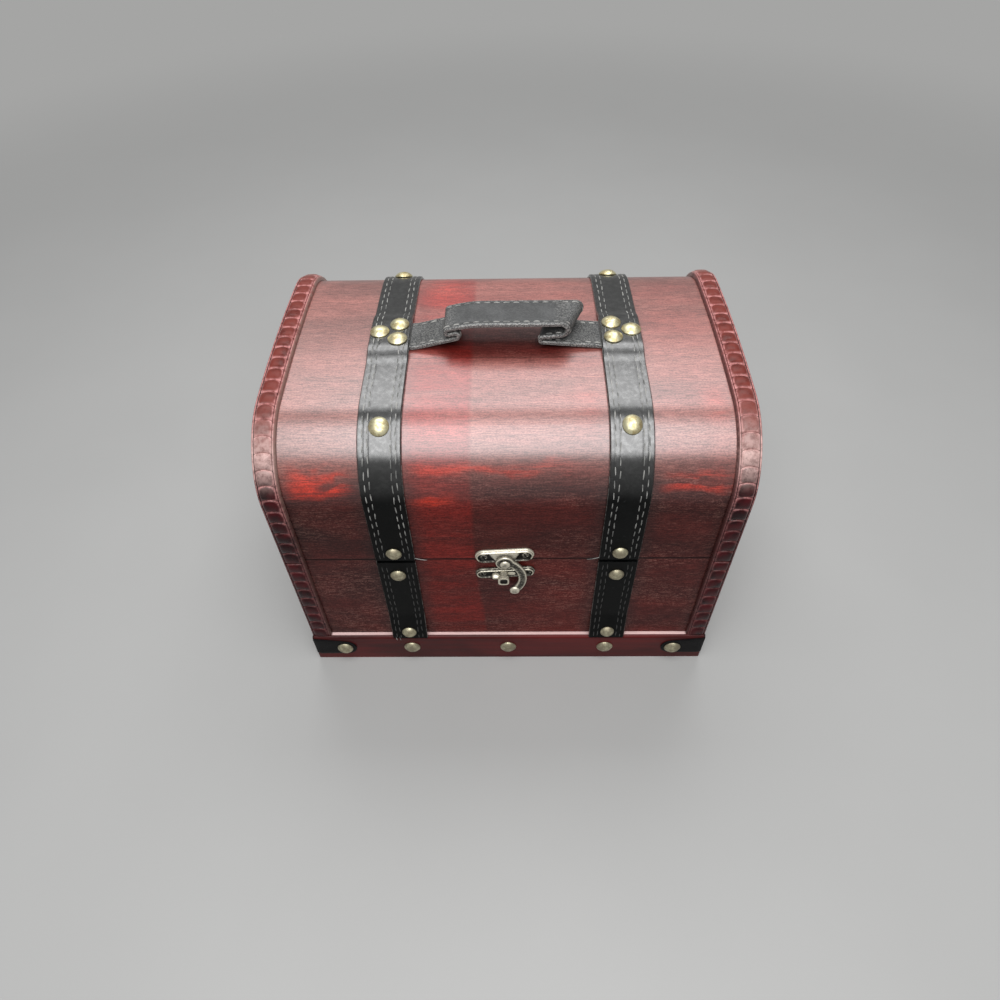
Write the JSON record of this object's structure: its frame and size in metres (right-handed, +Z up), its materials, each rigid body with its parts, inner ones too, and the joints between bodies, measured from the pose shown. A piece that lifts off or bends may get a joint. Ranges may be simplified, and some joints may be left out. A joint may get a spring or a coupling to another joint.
{
  "type": "treasure chest box",
  "caption": "Small domed-lid treasure chest box of stained boards with embossed bead edging, nailed leather straps, a leather carry handle and a swing-hook latch",
  "frame": {"origin": "middle of the underside, on the plane the chest stands on", "axes": "+X to the chest's right as seen from the front, +Y from the front with the latch towards the back with the hinges, +Z up"},
  "size_m": [0.2262, 0.1656, 0.1823],
  "materials": {
    "stained_wood": "dark red-brown stained wood grain, semi-gloss lacquer",
    "plinth_wood": "dark red-brown lacquer, glossier on the top ledge",
    "edging_leatherette": "embossed dark red leatherette, pale on worn bead edges",
    "strap_leather": "black grained leather, stitched along both edges",
    "corner_leatherette": "black leatherette",
    "handle_leather": "black leather with a grey suede-like back",
    "nail_brass": "silvery brass plating, slightly hammered",
    "latch_pewter": "antique pewter plating with dark recesses",
    "hinge_metal": "dull antique brass plating"
  },
  "bodies": {
    "base": {"base_back_wall": "stained_wood", "base_edging_back_left": "edging_leatherette", "base_edging_back_right": "edging_leatherette", "base_edging_front_left": "edging_leatherette", "base_edging_front_right": "edging_leatherette", "base_floor": "stained_wood", "base_front_wall": "stained_wood", "base_left_wall": "stained_wood", "base_right_wall": "stained_wood", "base_strap_back_left": "strap_leather", "base_strap_back_right": "strap_leather", "base_strap_front_left": "strap_leather", "base_strap_front_right": "strap_leather", "base_strap_studs": "nail_brass", "hinge_base_leaf_left": "hinge_metal", "hinge_base_leaf_right": "hinge_metal", "hinge_base_screws": "hinge_metal", "hinge_pin_left": "hinge_metal", "hinge_pin_right": "hinge_metal", "latch_strike_plate": "latch_pewter", "latch_strike_screws": "latch_pewter", "plinth_back": "plinth_wood", "plinth_corner_back_left": "corner_leatherette", "plinth_corner_back_right": "corner_leatherette", "plinth_corner_front_left": "corner_leatherette", "plinth_corner_front_right": "corner_leatherette", "plinth_front": "plinth_wood", "plinth_left": "plinth_wood", "plinth_right": "plinth_wood", "plinth_studs": "nail_brass"},
    "lid": {"carry_handle": "handle_leather", "handle_studs": "nail_brass", "hinge_lid_leaf_left": "hinge_metal", "hinge_lid_leaf_right": "hinge_metal", "hinge_lid_screws": "hinge_metal", "latch_pivot_rivet": "latch_pewter", "latch_top_plate": "latch_pewter", "latch_top_screws": "latch_pewter", "lid_edging_left": "edging_leatherette", "lid_edging_right": "edging_leatherette", "lid_left_end": "stained_wood", "lid_right_end": "stained_wood", "lid_skin": "stained_wood", "lid_strap_left": "strap_leather", "lid_strap_right": "strap_leather", "lid_strap_studs": "nail_brass"},
    "latch_hook": {"latch_hook": "latch_pewter"}
  },
  "joints": [
    {"name": "lid_hinge", "type": "hinge", "parent": "base", "child": "lid", "pos_m": [0, 0.0782, 0.091], "axis": [-1, 0, 0], "range_deg": [0, 105]},
    {"name": "hook_swing", "type": "hinge", "parent": "lid", "child": "latch_hook", "pos_m": [-0.0009, -0.07945, 0.0922], "axis": [0, -1, 0], "range_deg": [-20, 110]}
  ]
}
